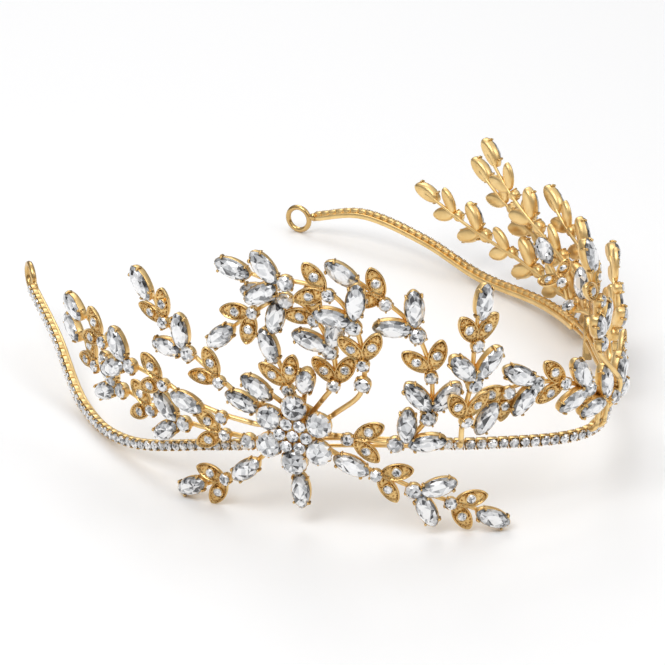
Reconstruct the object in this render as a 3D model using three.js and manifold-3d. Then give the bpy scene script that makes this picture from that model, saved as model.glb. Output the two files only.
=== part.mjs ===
// Bridal tiara: an open band of cup chain with two flowers and sprays of leaves and crystals.
// Millimetres, +Z up, front towards -Y, opening towards +Y. It stands as it rests on a table.
import * as THREE from 'three';
import { mergeVertices } from 'three/addons/utils/BufferGeometryUtils.js';
import Module from 'manifold-3d';

const wasm = await Module();
wasm.setup();

// ---- Driving dimensions -------------------------------------------------------------------

// Centreline of the band, from the left end round the front to the right end.
const BAND_POINTS = [
  [-47.5, 61, 13.5], [-55.5, 38.5, 10], [-63, 16, 1.5], [-66.5, -8, 2.5], [-62, -37, 12],
  [-47, -64.5, 18.5], [-25, -83.5, 18.5], [0, -90, 15.5], [21, -76.5, 13.5], [37, -57, 11],
  [52.5, -37, 6], [62.5, -14, 2.5], [64, 11, 1.2], [62.5, 32, 5.5], [58.5, 53, 8], [53, 68.5, 4],
];
const FRONT_POINT = 7;
// Puts the middle of the outline at x = y = 0 and the lowest point at z = 0.
const STAND_SHIFT = new THREE.Vector3(0.62, 11.26, 1.66);

const RAIL_THICK = 1;
const RAIL_HIGH = 2.4;
const CHAIN_PITCH = 2.5;
const CHAIN_BACK = 0.8;
const CHAIN_FRONT = 2.7;
const CHAIN_HIGH = 2.4;
const CHAIN_NECK_HIGH = 1.4;
const GAP = 0.35;

const FLOWER_AT = 67;
const FLOWER_UP = 5;
const FLOWER_RING = 6.7;
const BIG_STONE = 5.8;
const BRIDGE_START = 38.5;
const BRIDGE_END = 80;
const WIRE_THICK = 1;
const WIRE_BACK = 0.4;
const WIRE_SPREAD = 0.9;

const STEM_SECTION = [[-0.7, -0.6], [0.7, -0.6], [0, 0.7]];
const STEM_STEP = 5;
const ROUND_CUP = 3.6;
const MARQUISE = [8.9, 4.4];
const LEAF = [7.6, 3.9];
const CUP_FLOOR = -0.4;
const CUP_TOP = 1.8;
const LEAF_TOP = 0.7;
const STONE_HIGH = 1.2;
const FOOT_HALF = 0.8;
const BLUNT = 0.5;
const CUP_UNDER_STONE = 1.1;

const EYELET_OUTER = 4.2;
const EYELET_HOLE = 2.8;
const EYELET_THICK = 1.4;

const GOLD = { color: 0xd9a441, metalness: 1, roughness: 0.28 };
const CRYSTAL = { color: 0xeef2f5, metalness: 0, roughness: 0.05 };

// ---- The band and the crown surface above it ----------------------------------------------

const BAND_DIVISIONS = 1200;
const bandPoints = BAND_POINTS.map((point) => new THREE.Vector3(...point));
const band = new THREE.CatmullRomCurve3(bandPoints, false, 'catmullrom');
band.arcLengthDivisions = BAND_DIVISIONS;
const bandLength = band.getLength();
const frontLength = band.getLengths()[BAND_DIVISIONS * FRONT_POINT / (BAND_POINTS.length - 1)];

function onBand(along) {
  return band.getPointAt(THREE.MathUtils.clamp((along + frontLength) / bandLength, 0, 1));
}

const LEFT_END = -frontLength;
const RIGHT_END = bandLength - frontLength;

// Horizontal direction away from the head, averaged over a short stretch of the band.
function outward(along) {
  const reach = 6;
  const ahead = onBand(along + reach).sub(onBand(along - reach));
  return new THREE.Vector3(ahead.y, -ahead.x, 0).normalize();
}

// A place on the crown: distance along the band, height above it and lift away from the head.
function crown(along, up, lift) {
  return onBand(along).addScaledVector(outward(along), lift).add(new THREE.Vector3(0, 0, up));
}

// ---- Geometry helpers ---------------------------------------------------------------------

// A closed body through rings of points, all with the same number of points.
function skin(rings) {
  const sides = rings[0].length;
  const corners = rings.flat().flatMap((p) => [p.x, p.y, p.z]);
  const faces = [];
  for (let ring = 0; ring + 1 < rings.length; ring += 1) {
    for (let side = 0; side < sides; side += 1) {
      const a = ring * sides + side;
      const b = ring * sides + (side + 1) % sides;
      faces.push(a, b, b + sides, a, b + sides, a + sides);
    }
  }
  const last = (rings.length - 1) * sides;
  for (let side = 1; side + 1 < sides; side += 1) {
    faces.push(0, side + 1, side);
    faces.push(last, last + side, last + side + 1);
  }
  const geometry = new THREE.BufferGeometry();
  geometry.setAttribute('position', new THREE.Float32BufferAttribute(corners, 3));
  geometry.setIndex(faces);
  return geometry;
}

// A flat-sided strip that follows the band. `profile` gives [lift, up] corners at each station.
function strip(stations, profile) {
  const rings = stations.map((along, index) => profile(index).map(([lift, up]) => crown(along, up, lift)));
  return skin(rings.map((ring) => ring.reverse()));
}

// Corners of a rectangle in the [lift, up] plane.
function box(back, front, high, middle = 0) {
  const low = middle - high / 2;
  const top = middle + high / 2;
  return [[back, low], [front, low], [front, top], [back, top]];
}

function spread(from, to, step) {
  const count = Math.max(1, Math.round((to - from) / step));
  return Array.from({ length: count + 1 }, (_, index) => from + (to - from) * index / count);
}

function solid(geometry) {
  const bare = geometry.clone();
  bare.deleteAttribute('normal');
  bare.deleteAttribute('uv');
  const merged = mergeVertices(bare, 1e-4);
  return new wasm.Manifold(new wasm.Mesh({
    numProp: 3,
    vertProperties: merged.attributes.position.array,
    triVerts: Uint32Array.from(merged.index.array),
  }));
}

function join(geometries) {
  const whole = geometries.map(solid).reduce((sum, next) => sum.add(next));
  const result = whole.getMesh();
  const geometry = new THREE.BufferGeometry();
  geometry.setAttribute('position', new THREE.BufferAttribute(result.vertProperties, 3));
  geometry.setIndex(new THREE.BufferAttribute(result.triVerts, 1));
  return geometry;
}

// Axes of a piece that faces away from the head: x towards the tip, z out of its face.
function placement(position, tip, face) {
  const z = face.clone().addScaledVector(tip, -face.dot(tip)).normalize();
  const y = new THREE.Vector3().crossVectors(z, tip).normalize();
  return new THREE.Matrix4().makeBasis(tip, y, z).setPosition(position);
}

function prism(outline, low, high) {
  const shape = new THREE.Shape(outline.map(([x, y]) => new THREE.Vector2(x, y)));
  const geometry = new THREE.ExtrudeGeometry(shape, { depth: high - low, bevelEnabled: false });
  return geometry.translate(0, 0, low);
}

// A pointed oval with blunt ends.
function oval([long, wide], blunt = BLUNT) {
  const end = long / 2;
  const side = wide / 2;
  return [[end, -blunt], [end, blunt], [0, side], [-end, blunt], [-end, -blunt], [0, -side]];
}

function roundCup(radius, low, high, sides = 6) {
  return new THREE.CylinderGeometry(radius, radius * 0.75, high - low, sides)
    .rotateX(Math.PI / 2).translate(0, 0, (low + high) / 2);
}

// ---- Sprays -------------------------------------------------------------------------------

// Distance from one setting to the next along a stem, before it is stretched to the stem.
const STEP = {
  'R-R': 5.4, 'R-L': 4.3, 'R-M': 5.5, 'R-T': 7.9, 'L-R': 5.5, 'L-T': 6.5,
  'M-R': 4.1, 'M-T': 6.8, 'T-R': 6.9,
};
const PAIR = {
  M: { size: MARQUISE, turn: 0.72, foot: 3.9, top: CUP_TOP },
  L: { size: LEAF, turn: 0.62, foot: 3.4, top: LEAF_TOP },
};

// A pattern runs from the flower to the tip: R round stone, L pair of leaves,
// M pair of marquise stones, T one marquise on the stem.
function stations(pattern, bare, length) {
  const marks = [0];
  for (let index = 1; index < pattern.length; index += 1) {
    marks.push(marks[index - 1] + STEP[`${pattern[index - 1]}-${pattern[index]}`]);
  }
  const fromTip = (mark) => (marks.at(-1) - mark) / (marks.at(-1) || 1);
  const covered = 1 - bare / length;
  return marks.map((mark, index) => ({ kind: pattern[index], at: 1 - fromTip(mark) * covered }));
}

class Spray {
  constructor({ path, lift, twist = 0 }) {
    const [near, far] = lift;
    const last = path.length - 1;
    const rise = (index) => near + (far - near) * THREE.MathUtils.smoothstep(index / last, 0, 0.5);
    const points = path.map(([along, up], index) => new THREE.Vector3(along, up, rise(index)));
    this.flat = new THREE.CatmullRomCurve3(points, false, 'centripetal');
    this.length = this.flat.getLength();
    this.twist = THREE.MathUtils.degToRad(twist);
  }

  point(at) {
    const place = this.flat.getPointAt(THREE.MathUtils.clamp(at, 0, 1));
    return crown(place.x, place.y, place.z);
  }

  frame(at) {
    const reach = 0.02;
    const low = Math.max(0, at - reach);
    const high = Math.min(1, at + reach);
    const tip = this.point(high).sub(this.point(low)).normalize();
    const face = outward(this.flat.getPointAt(at).x).applyAxisAngle(tip, this.twist);
    return placement(this.point(at), tip, face);
  }

  stem() {
    const count = Math.max(2, Math.round(this.length / STEM_STEP));
    const rings = spread(0, 1, 1 / count).map((at) => {
      const matrix = this.frame(at);
      return STEM_SECTION.map(([y, z]) => new THREE.Vector3(0, y, z).applyMatrix4(matrix));
    });
    return skin(rings);
  }
}

// Outline of two pointed ovals that spread from one foot on the stem.
function pairOutline({ size: [long, wide], turn, foot }) {
  const middle = long / 2;
  const side = wide / 2;
  const upper = [[middle, -side], [long, -BLUNT], [long, BLUNT], [middle, side]].map(([x, y]) => [
    x * Math.cos(turn) - y * Math.sin(turn) - foot,
    x * Math.sin(turn) + y * Math.cos(turn),
  ]);
  const lower = upper.map(([x, y]) => [x, -y]).reverse();
  return [[-foot, -FOOT_HALF], ...lower, ...upper, [-foot, FOOT_HALF]];
}

const ROUND_OUTLINE = Array.from({ length: 6 }, (_, index) => index * Math.PI / 3)
  .map((angle) => [ROUND_CUP / 2 * Math.cos(angle), ROUND_CUP / 2 * Math.sin(angle)]);

function setting(kind, top) {
  if (kind === 'R') {
    return prism(ROUND_OUTLINE, CUP_FLOOR, CUP_TOP);
  }
  if (kind === 'T') {
    return prism(oval(MARQUISE), CUP_FLOOR, top);
  }
  return prism(pairOutline(PAIR[kind]), CUP_FLOOR, PAIR[kind].top);
}

// One casting: the stem with its settings. A loose stone lies in a lower cup at the tip.
function castSpray(spray, pattern, bare, tipStone) {
  const pieces = [spray.stem()];
  for (const { kind, at } of stations(pattern, bare, spray.length)) {
    const top = at > 0.99 && tipStone ? CUP_UNDER_STONE : CUP_TOP;
    pieces.push(setting(kind, top).applyMatrix4(spray.frame(at)));
  }
  return join(pieces);
}

// A cut marquise: a low body with a smaller flat table on top.
function marquiseStone() {
  const rim = oval([MARQUISE[0] - 1, MARQUISE[1] - 0.6], 0.3);
  const tableShare = 0.6;
  const table = rim.map(([x, y]) => [x * tableShare, y * tableShare]);
  const layer = (outline, z) => outline.map(([x, y]) => new THREE.Vector3(x, y, z));
  return skin([layer(rim, 0), layer(rim, STONE_HIGH / 2), layer(table, STONE_HIGH)]);
}

// Sprays whose tip crystal is a piece of its own.
const TIP_STONES = [
  'temple_upper_left', 'temple_lower_left', 'crest_left', 'scroll_left', 'arch_left', 'hook_left',
  'droop_inner_left', 'droop_outer_left', 'column_left',
  'temple_upper_right', 'temple_lower_right', 'crest_right',
];

// Each spray: its path as [along, up] points, lift near the flower and at the tip, how the
// settings follow each other, and the bare wire before the first of them.
const SPRAYS = {
  temple_upper_left: {
    path: [[-77.5, 7.2], [-84, 9.5], [-92, 13.5], [-99, 18.5], [-108, 22.5], [-119, 28.5], [-129, 34.5]],
    lift: [5.4, 7.2], pattern: 'RTRLRMRLT', bare: 7,
  },
  temple_lower_left: {
    path: [
      [-76, 2], [-84, 4], [-92, 6], [-99.5, 8.5], [-107, 11.5], [-114, 14.5], [-125, 19], [-136.5, 25.5],
    ],
    lift: [3.8, 4.3], pattern: 'RRLRMRLRMRLT', bare: 2.5,
  },
  crest_left: {
    path: [[-74, 10.5], [-79.5, 12.5], [-85.5, 17.5], [-94, 25], [-100.5, 32.5], [-107, 42.5]],
    lift: [3.8, 4.3], pattern: 'TRLRMRLT', bare: 6,
  },
  bud_left: {
    path: [[-68, 13], [-69.5, 16.5], [-71, 20.5], [-73, 26]],
    lift: [3.8, 4.3], pattern: 'RLT', bare: 2.5,
  },
  pin_outer_left: {
    path: [[-71, 11.5], [-76, 16]],
    lift: [3.8, 4.3], pattern: 'T',
  },
  pin_inner_left: {
    path: [[-65.8, 12.8], [-64, 19]],
    lift: [3.8, 7.2], pattern: 'T',
  },
  scroll_left: {
    path: [
      [-62, 11.5], [-59, 16], [-59, 21.5], [-61.5, 29], [-65, 34.5], [-70.5, 37], [-77, 34], [-84.5, 29],
    ],
    lift: [3.8, 4.3], pattern: 'RLRMRLRMRLT', bare: 5.5,
  },
  arch_left: {
    path: [
      [-59.5, 8], [-53.5, 13.5], [-52.5, 22], [-54.5, 32], [-58, 38], [-64.5, 41.5], [-73, 43], [-79.5, 46],
    ],
    lift: [3.8, 7.6], pattern: 'RRLRMRLRMT', bare: 11.8,
  },
  hook_left: {
    path: [
      [-59, 3], [-52, 2], [-47, 1.5], [-42, 4], [-39, 9.5], [-39, 19.5], [-43, 30], [-49, 36], [-57, 42.5],
    ],
    lift: [3.8, 4.3], pattern: 'RLRMRMRLRMRLT', bare: 3,
  },
  droop_inner_left: {
    path: [[-61, 0], [-55.5, -3.5], [-46.5, -7.5], [-38, -11.5], [-31, -14], [-25.5, -16.5]],
    lift: [3.8, 4.3], pattern: 'TRLRMRLT', bare: 6.8,
  },
  droop_outer_left: {
    path: [[-73.5, 0], [-79, -4.4], [-86, -7.8], [-93, -9.5]],
    lift: [3.8, 4.3], pattern: 'TRLT', bare: 7,
  },
  drop_left: {
    path: [[-66.5, -3], [-66, -9.5]],
    lift: [3.8, 4.3], pattern: 'T',
  },
  column_left: {
    path: [[-32.4, 2.6], [-32.4, 7], [-32, 12], [-31, 18], [-30.6, 27], [-29.8, 37.5]],
    lift: [5.4, 7.4], pattern: 'RLRMRLT', bare: 6.5, twist: 20,
  },
  branch_left: {
    path: [[0, 2.6], [0.5, 8.5], [-2.5, 12.2], [-8.8, 14.8], [-15, 15.5], [-21, 14.6], [-25, 11.5], [-27, 8]],
    lift: [3.8, 3.2], pattern: 'MRMRLRMRLT', bare: 9.5,
  },
  column_front: {
    path: [[3.5, 14], [0.8, 17.5], [-2, 21.5], [-3, 26.5], [-3.2, 33], [-5, 39.5], [-7, 45.5]],
    lift: [6.4, 4.8], pattern: 'RMRLT', bare: 12, twist: 30,
  },
  temple_lower_right: {
    path: [[76, 3], [88, 3.2], [99, 3.6], [109, 5.8], [119, 8.4], [128.5, 9.8], [140, 10.4], [151.5, 12]],
    lift: [3.8, 4.3], pattern: 'LRMRLRMRLRMRLT', bare: 7,
  },
  temple_middle_right: {
    path: [[81, 6], [90, 7.5], [99.5, 8], [106.5, 10], [113, 12.5], [119.5, 16.2], [128, 20.7], [136, 25]],
    lift: [7.8, 8.8], pattern: 'RLRMRLT', bare: 23,
  },
  temple_upper_right: {
    path: [[77, 7.5], [85, 8.5], [95, 11.5], [105, 15.5], [114, 20.5], [122, 26.5], [129.5, 34]],
    lift: [5.4, 5], pattern: 'RTRLRMRLT', bare: 6,
  },
  crest_right: {
    path: [[78, 14.5], [84, 14.5], [91, 15], [97.5, 17], [103.5, 20.5], [109, 26]],
    lift: [5.6, 8.3], pattern: 'RLRMRLT', bare: 7,
  },
  wing_right: {
    path: [[77.5, 5], [82.8, 4.4], [84.3, 10], [92.3, 12], [97.7, 15.8]],
    lift: [1.2, -1], pattern: 'RRLT', bare: 5, twist: -125,
  },
  pin_outer_right: {
    path: [[80, 5], [81.5, 7.5], [82.5, 11]],
    lift: [3.4, 3.4], pattern: 'T', twist: -125,
  },
  hook_right: {
    path: [[59, 3], [52, 3], [46, 5], [43.5, 12], [43.7, 20], [48.5, 25], [55, 26]],
    lift: [3.8, 3.8], pattern: 'RLRMRLT', bare: 4,
  },
  droop_outer_right: {
    path: [[75, -0.6], [81, -0.6], [88, -0.5], [96, 0.5]],
    lift: [3.8, 7.2], pattern: 'RLT', bare: 5,
  },
  branch_right: {
    path: [[3, 2.6], [4.5, 8], [9, 12], [15, 14.5]],
    lift: [3.8, 3.8], pattern: 'RMRL', bare: 6,
  },
};

// ---- Band parts ---------------------------------------------------------------------------

function rail(from, to) {
  const section = box(-RAIL_THICK / 2, RAIL_THICK / 2, RAIL_HIGH);
  return strip(spread(from, to, 5), () => section);
}

// A row of square cups: wide at each cup's middle and narrow at each link.
function chain(from, to) {
  const cup = box(CHAIN_BACK, CHAIN_FRONT, CHAIN_HIGH);
  const link = box(CHAIN_BACK, CHAIN_FRONT - 0.9, CHAIN_NECK_HIGH);
  return strip(spread(from, to, CHAIN_PITCH / 2), (index) => (index % 2 ? cup : link));
}

// A flat ring with a short neck, in the surface of the band at its end.
function eyelet(end, direction) {
  const shape = new THREE.Shape();
  const neckHalf = 1.1;
  const neckEnd = EYELET_OUTER + 0.6;
  const start = Math.asin(neckHalf / EYELET_OUTER);
  shape.absarc(0, 0, EYELET_OUTER, start, 2 * Math.PI - start, false);
  shape.lineTo(neckEnd, -neckHalf);
  shape.lineTo(neckEnd, neckHalf);
  shape.holes.push(new THREE.Path().absarc(0, 0, EYELET_HOLE, 0, 2 * Math.PI, true));
  const flat = { depth: EYELET_THICK, bevelEnabled: false, curveSegments: 9 };
  const geometry = new THREE.ExtrudeGeometry(shape, flat);
  geometry.translate(0, 0, -EYELET_THICK / 2);
  const toBand = onBand(end - direction * 4).sub(onBand(end)).normalize();
  const centre = onBand(end).addScaledVector(toBand, -(neckEnd + GAP));
  return geometry.applyMatrix4(placement(centre, toBand, outward(end - direction * 6)));
}

// ---- Flowers ------------------------------------------------------------------------------

// Heights along the flower's own axis, from the band outwards.
const PLATE_LIFT = 2.2;
const PLATE_THICK = 1;
const CUP_LIFT = 5.9;
const CUP_SEAT = 7.1;
const BIG_STONE_HIGH = 2;
const CLUSTER_FLOOR = 7.5;
const CLUSTER_TOP = 9;

const PLATE_RADIUS = 6;
const HUB_RADIUS = 3.4;
const POST_RING = 5.2;
const POST_WIDE = 1.4;
const STAY_WIDE = 2;
const STAY_THICK = 2.4;
const CLUSTER_RING = 2.3;

function flowerMatrix(side) {
  const along = side * FLOWER_AT;
  const ahead = onBand(along + 3).sub(onBand(along - 3)).setZ(0).normalize();
  return placement(crown(along, FLOWER_UP, 0), ahead, outward(along));
}

function ringSpot(index, radius) {
  const angle = (index + 0.5) * Math.PI / 3;
  return [radius * Math.cos(angle), radius * Math.sin(angle)];
}

function disc(radius, thick, sides) {
  return new THREE.CylinderGeometry(radius, radius, thick, sides).rotateX(Math.PI / 2);
}

// The gold flower: a plate with six cups on posts, and the two thin wires that carry it.
function flowerCasting(side) {
  const plateTop = PLATE_LIFT + PLATE_THICK;
  const hubHigh = CUP_SEAT - plateTop + 0.1;
  const postHigh = CUP_LIFT + 0.6 - (plateTop - 0.3);
  const pieces = [
    disc(PLATE_RADIUS, PLATE_THICK, 12).translate(0, 0, PLATE_LIFT + PLATE_THICK / 2),
    disc(HUB_RADIUS, hubHigh, 6).translate(0, 0, CUP_SEAT - hubHigh / 2),
    new THREE.BoxGeometry(STAY_WIDE, 2 * FLOWER_UP + 1.6, STAY_THICK).translate(0, -FLOWER_UP, 1.5),
  ];
  for (let index = 0; index < 6; index += 1) {
    const [postX, postY] = ringSpot(index, POST_RING);
    const [cupX, cupY] = ringSpot(index, FLOWER_RING);
    const post = new THREE.BoxGeometry(POST_WIDE, POST_WIDE, postHigh);
    pieces.push(post.translate(postX, postY, plateTop - 0.3 + postHigh / 2));
    pieces.push(roundCup(BIG_STONE / 2, CUP_LIFT, CUP_SEAT, 8).translate(cupX, cupY, 0));
  }
  const matrix = flowerMatrix(side);
  pieces.forEach((piece) => piece.applyMatrix4(matrix));
  const [from, to] = [side * (BRIDGE_START + GAP), side * (BRIDGE_END - GAP)].sort((a, b) => a - b);
  for (const up of [-WIRE_SPREAD, WIRE_SPREAD]) {
    const section = box(WIRE_BACK, WIRE_BACK + WIRE_THICK, WIRE_THICK, up);
    pieces.push(strip(spread(from, to, 5), () => section));
  }
  return join(pieces);
}

// A round cut stone: flat foot, widest at the girdle, flat table.
function cutStone(radius, high) {
  const profile = [[0, 0], [radius * 0.7, 0], [radius, high * 0.45], [radius * 0.6, high], [0, high]];
  const outline = profile.map(([x, y]) => new THREE.Vector2(x, y));
  return new THREE.LatheGeometry(outline, 8).rotateX(Math.PI / 2);
}

function bigStone(side, index) {
  const [x, y] = ringSpot(index, FLOWER_RING);
  const stone = cutStone(BIG_STONE / 2, BIG_STONE_HIGH).translate(x, y, CUP_SEAT + GAP);
  return stone.applyMatrix4(flowerMatrix(side));
}

// Seven small crystals, one in the middle and six around it.
function cluster(side) {
  const pieces = [roundCup(1.6, CLUSTER_FLOOR, CLUSTER_TOP)];
  for (let index = 0; index < 6; index += 1) {
    const [x, y] = ringSpot(index - 0.5, CLUSTER_RING);
    pieces.push(roundCup(1.4, CLUSTER_FLOOR, CLUSTER_TOP - 0.2).translate(x, y, 0));
  }
  return join(pieces).applyMatrix4(flowerMatrix(side));
}

// ---- Assembly -----------------------------------------------------------------------------

const tiara = new THREE.Group();

function add(name, geometry, look) {
  const mesh = new THREE.Mesh(geometry, new THREE.MeshStandardMaterial(look));
  mesh.name = name;
  tiara.add(mesh);
}

add('rail_left', rail(LEFT_END, -BRIDGE_END), GOLD);
add('rail_front', rail(-BRIDGE_START, BRIDGE_START), GOLD);
add('rail_right', rail(BRIDGE_END, RIGHT_END), GOLD);
add('chain_left', chain(LEFT_END, -BRIDGE_END), GOLD);
add('chain_front', chain(-BRIDGE_START, BRIDGE_START), GOLD);
add('chain_right', chain(BRIDGE_END, RIGHT_END), GOLD);
add('eyelet_left', eyelet(LEFT_END, -1), GOLD);
add('eyelet_right', eyelet(RIGHT_END, 1), GOLD);

for (const [sideName, side] of [['left', -1], ['right', 1]]) {
  add(`flower_${sideName}`, flowerCasting(side), GOLD);
  add(`cluster_${sideName}`, cluster(side), CRYSTAL);
  for (let index = 0; index < 6; index += 1) {
    add(`flower_stone_${sideName}_${index + 1}`, bigStone(side, index), CRYSTAL);
  }
}

for (const [name, { path, lift, pattern, bare = 0, twist }] of Object.entries(SPRAYS)) {
  const spray = new Spray({ path, lift, twist });
  const loose = TIP_STONES.includes(name);
  add(`spray_${name}`, castSpray(spray, pattern, bare, loose), GOLD);
  if (loose) {
    const stone = marquiseStone().translate(0, 0, CUP_UNDER_STONE + GAP).applyMatrix4(spray.frame(1));
    add(`stone_${name}`, stone, CRYSTAL);
  }
}

tiara.position.copy(STAND_SHIFT);

export default tiara;
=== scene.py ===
"""Looks of a bridal tiara: gold castings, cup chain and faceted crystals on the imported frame.

Lengths are in millimetres until a piece is made, and metres from there on.
"""

import math
import random
import bpy
import numpy as np
from mathutils import Matrix, Vector


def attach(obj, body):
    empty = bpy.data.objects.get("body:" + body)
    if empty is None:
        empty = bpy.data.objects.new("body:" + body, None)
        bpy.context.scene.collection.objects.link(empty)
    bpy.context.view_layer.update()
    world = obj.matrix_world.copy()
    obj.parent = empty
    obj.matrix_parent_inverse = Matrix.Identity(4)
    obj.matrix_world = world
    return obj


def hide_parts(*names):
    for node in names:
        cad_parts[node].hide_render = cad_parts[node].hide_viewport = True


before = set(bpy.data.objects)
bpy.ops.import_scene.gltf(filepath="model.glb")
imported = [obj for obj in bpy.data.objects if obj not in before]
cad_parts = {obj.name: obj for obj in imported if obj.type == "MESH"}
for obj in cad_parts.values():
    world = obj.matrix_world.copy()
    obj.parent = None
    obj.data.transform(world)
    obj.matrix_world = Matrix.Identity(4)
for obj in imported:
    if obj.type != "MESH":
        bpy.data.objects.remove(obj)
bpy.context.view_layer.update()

MM = 0.001

# ---- The band and the crown surface above it --------------------------------------------------

BAND_POINTS = [
    (-47.5, 61, 13.5), (-55.5, 38.5, 10), (-63, 16, 1.5), (-66.5, -8, 2.5),
    (-62, -37, 12), (-47, -64.5, 18.5), (-25, -83.5, 18.5), (0, -90, 15.5),
    (21, -76.5, 13.5), (37, -57, 11), (52.5, -37, 6), (62.5, -14, 2.5),
    (64, 11, 1.2), (62.5, 32, 5.5), (58.5, 53, 8), (53, 68.5, 4),
]
FRONT_POINT = 7
BAND_DIVISIONS = 1200
# Puts the middle of the tiara over the origin and its lowest point on the table, as in the frame.
STAND_SHIFT = Vector((0.62, 11.26, 1.66))

FLOWER_AT = 67
FLOWER_UP = 5
FLOWER_RING = 6.7
BRIDGE_START = 38.5
BRIDGE_END = 80
CHAIN_PITCH = 2.5
# How far to each side the band's direction is taken from, so that it turns smoothly.
OUTWARD_REACH = 6


def hermite(a, b, slope_a, slope_b, t):
    return (
        a + slope_a * t
        + (3 * (b - a) - 2 * slope_a - slope_b) * t * t
        + (2 * (a - b) + slope_a + slope_b) * t ** 3
    )


class Curve:
    """A Catmull-Rom curve through points, read by share of its length."""

    def __init__(self, points, centripetal, divisions):
        points = np.array(points, float)
        ends = (2 * points[0] - points[1], 2 * points[-1] - points[-2])
        self.points = np.vstack([ends[0], points, ends[1]])
        self.centripetal = centripetal
        self.spans = len(points) - 1
        self.grid = np.linspace(0, 1, divisions + 1)
        places = np.array([self.raw(t) for t in self.grid])
        steps = np.linalg.norm(np.diff(places, axis=0), axis=1)
        self.lengths = np.concatenate([[0], np.cumsum(steps)])
        self.length = self.lengths[-1]

    def raw(self, t):
        span = min(int(t * self.spans), self.spans - 1)
        rest = t * self.spans - span
        p0, p1, p2, p3 = self.points[span:span + 4]
        if not self.centripetal:
            return hermite(p1, p2, (p2 - p0) / 2, (p3 - p1) / 2, rest)
        d0, d1, d2 = (
            math.sqrt(np.linalg.norm(b - a)) for a, b in ((p0, p1), (p1, p2), (p2, p3))
        )
        slope_1 = ((p1 - p0) / d0 - (p2 - p0) / (d0 + d1) + (p2 - p1) / d1) * d1
        slope_2 = ((p2 - p1) / d1 - (p3 - p1) / (d1 + d2) + (p3 - p2) / d2) * d1
        return hermite(p1, p2, slope_1, slope_2, rest)

    def at(self, share):
        share = min(max(share, 0), 1)
        return self.raw(float(np.interp(share * self.length, self.lengths, self.grid)))


band = Curve(BAND_POINTS, False, BAND_DIVISIONS)
front_length = band.lengths[BAND_DIVISIONS * FRONT_POINT // (len(BAND_POINTS) - 1)]
LEFT_END = -front_length
RIGHT_END = band.length - front_length


def on_band(along):
    """The point at a distance along the band from its front, positive to the right."""
    return Vector(band.at((along + front_length) / band.length))


def outward(along):
    """The level direction out of the band."""
    ahead = on_band(along + OUTWARD_REACH) - on_band(along - OUTWARD_REACH)
    return Vector((ahead.y, -ahead.x, 0)).normalized()


def crown(along, up, lift):
    """A point on the crown: a place on the band, a height above it and a distance out from it."""
    return on_band(along) + outward(along) * lift + Vector((0, 0, up))


def placement(position, tip, face):
    """Axes of a piece: x towards its tip, z out of its face."""
    z = (face - tip * face.dot(tip)).normalized()
    y = z.cross(tip).normalized()
    matrix = Matrix((tip, y, z)).transposed().to_4x4()
    matrix.translation = position
    return matrix


def move(x, y, z=0):
    return Matrix.Translation((x, y, z))


def turn(angle, axis="Z"):
    return Matrix.Rotation(angle, 4, axis)


def spread(low, high, step):
    """Even places from low to high, about a step apart."""
    count = max(1, round((high - low) / step))
    return [low + (high - low) * index / count for index in range(count + 1)]


# ---- Mesh building ----------------------------------------------------------------------------

POLISHED, SATIN, SHADED_RECESS = 0, 1, 2


class Shape:
    """Points and faces that gather into one mesh, with a look and a tone for each face."""

    def __init__(self):
        self.points = []
        self.faces = []
        self.looks = []
        self.smooth = []
        self.tones = []

    def add(self, points, faces, looks=None, smooth=True, tones=None):
        start = len(self.points)
        self.points.extend(tuple(p) for p in points)
        self.faces.extend(tuple(start + corner for corner in face) for face in faces)
        self.looks.extend(looks or [POLISHED] * len(faces))
        self.smooth.extend([smooth] * len(faces))
        self.tones.extend(tones or [1.0] * len(faces))
        return self

    def put(self, other, matrix=Matrix.Identity(4), chance=None):
        """Adds another shape, placed by the matrix; chance varies the tone of its facets."""
        start = len(self.points)
        m = np.array(matrix)
        at = np.array(other.points) @ m[:3, :3].T + m[:3, 3]
        self.points.extend(map(tuple, at))
        self.faces.extend(tuple(start + c for c in face) for face in other.faces)
        self.looks.extend(other.looks)
        self.smooth.extend(other.smooth)
        self.tones.extend(chance.facets(other.tones) if chance else other.tones)
        return self


# Painted reflections: one facet in ten is dark, about one in five is dim, and the rest vary a
# little.
DARK_BELOW, DARK_TONE = 0.1, 0.18
DIM_BELOW, DIM_TONE = 0.32, 0.55
PLAIN_TONES = (0.8, 1.05)


class Chance:
    """Seeded random numbers, so that every run is the same."""

    def __init__(self, seed):
        self.random = random.Random(seed)

    def facets(self, tones):
        """A painted reflection for each facet, light or dark, around what the cut gives it."""
        drawn = []
        for painted_reflection in tones:
            kick = self.random.random()
            if kick < DARK_BELOW:
                painted_reflection *= DARK_TONE
            elif kick < DIM_BELOW:
                painted_reflection *= DIM_TONE
            else:
                painted_reflection *= self.random.uniform(*PLAIN_TONES)
            drawn.append(min(painted_reflection, 1))
        return drawn

    def lean(self, degrees):
        """An angle of up to so many degrees either way."""
        return math.radians(self.random.uniform(-degrees, degrees))


def loft(levels, bands=(), shape=None):
    """A closed body through outlines of the same count, counter-clockwise, from below upwards.

    bands gives a look for each ring of faces, from below; without them all of it is polished.
    """
    count = len(levels[0])
    rings = len(levels) - 1
    bands = list(bands) or [POLISHED] * rings
    points = [p for outline in levels for p in outline]
    faces, looks = [], []
    for ring in range(rings):
        for side in range(count):
            a = ring * count + side
            b = ring * count + (side + 1) % count
            faces.append((a, b, b + count, a + count))
            looks.append(bands[ring])
    last = rings * count
    faces.append(tuple(reversed(range(count))))
    faces.append(tuple(range(last, last + count)))
    looks += [bands[0], bands[-1]]
    return (shape or Shape()).add(points, faces, looks)


def level(outline, scale, z, grow=0.0):
    """The outline scaled about its middle and moved out by grow, at height z."""
    made = []
    for x, y in outline:
        reach = math.hypot(x, y) or 1
        made.append((x * scale + x / reach * grow, y * scale + y / reach * grow, z))
    return made


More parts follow.
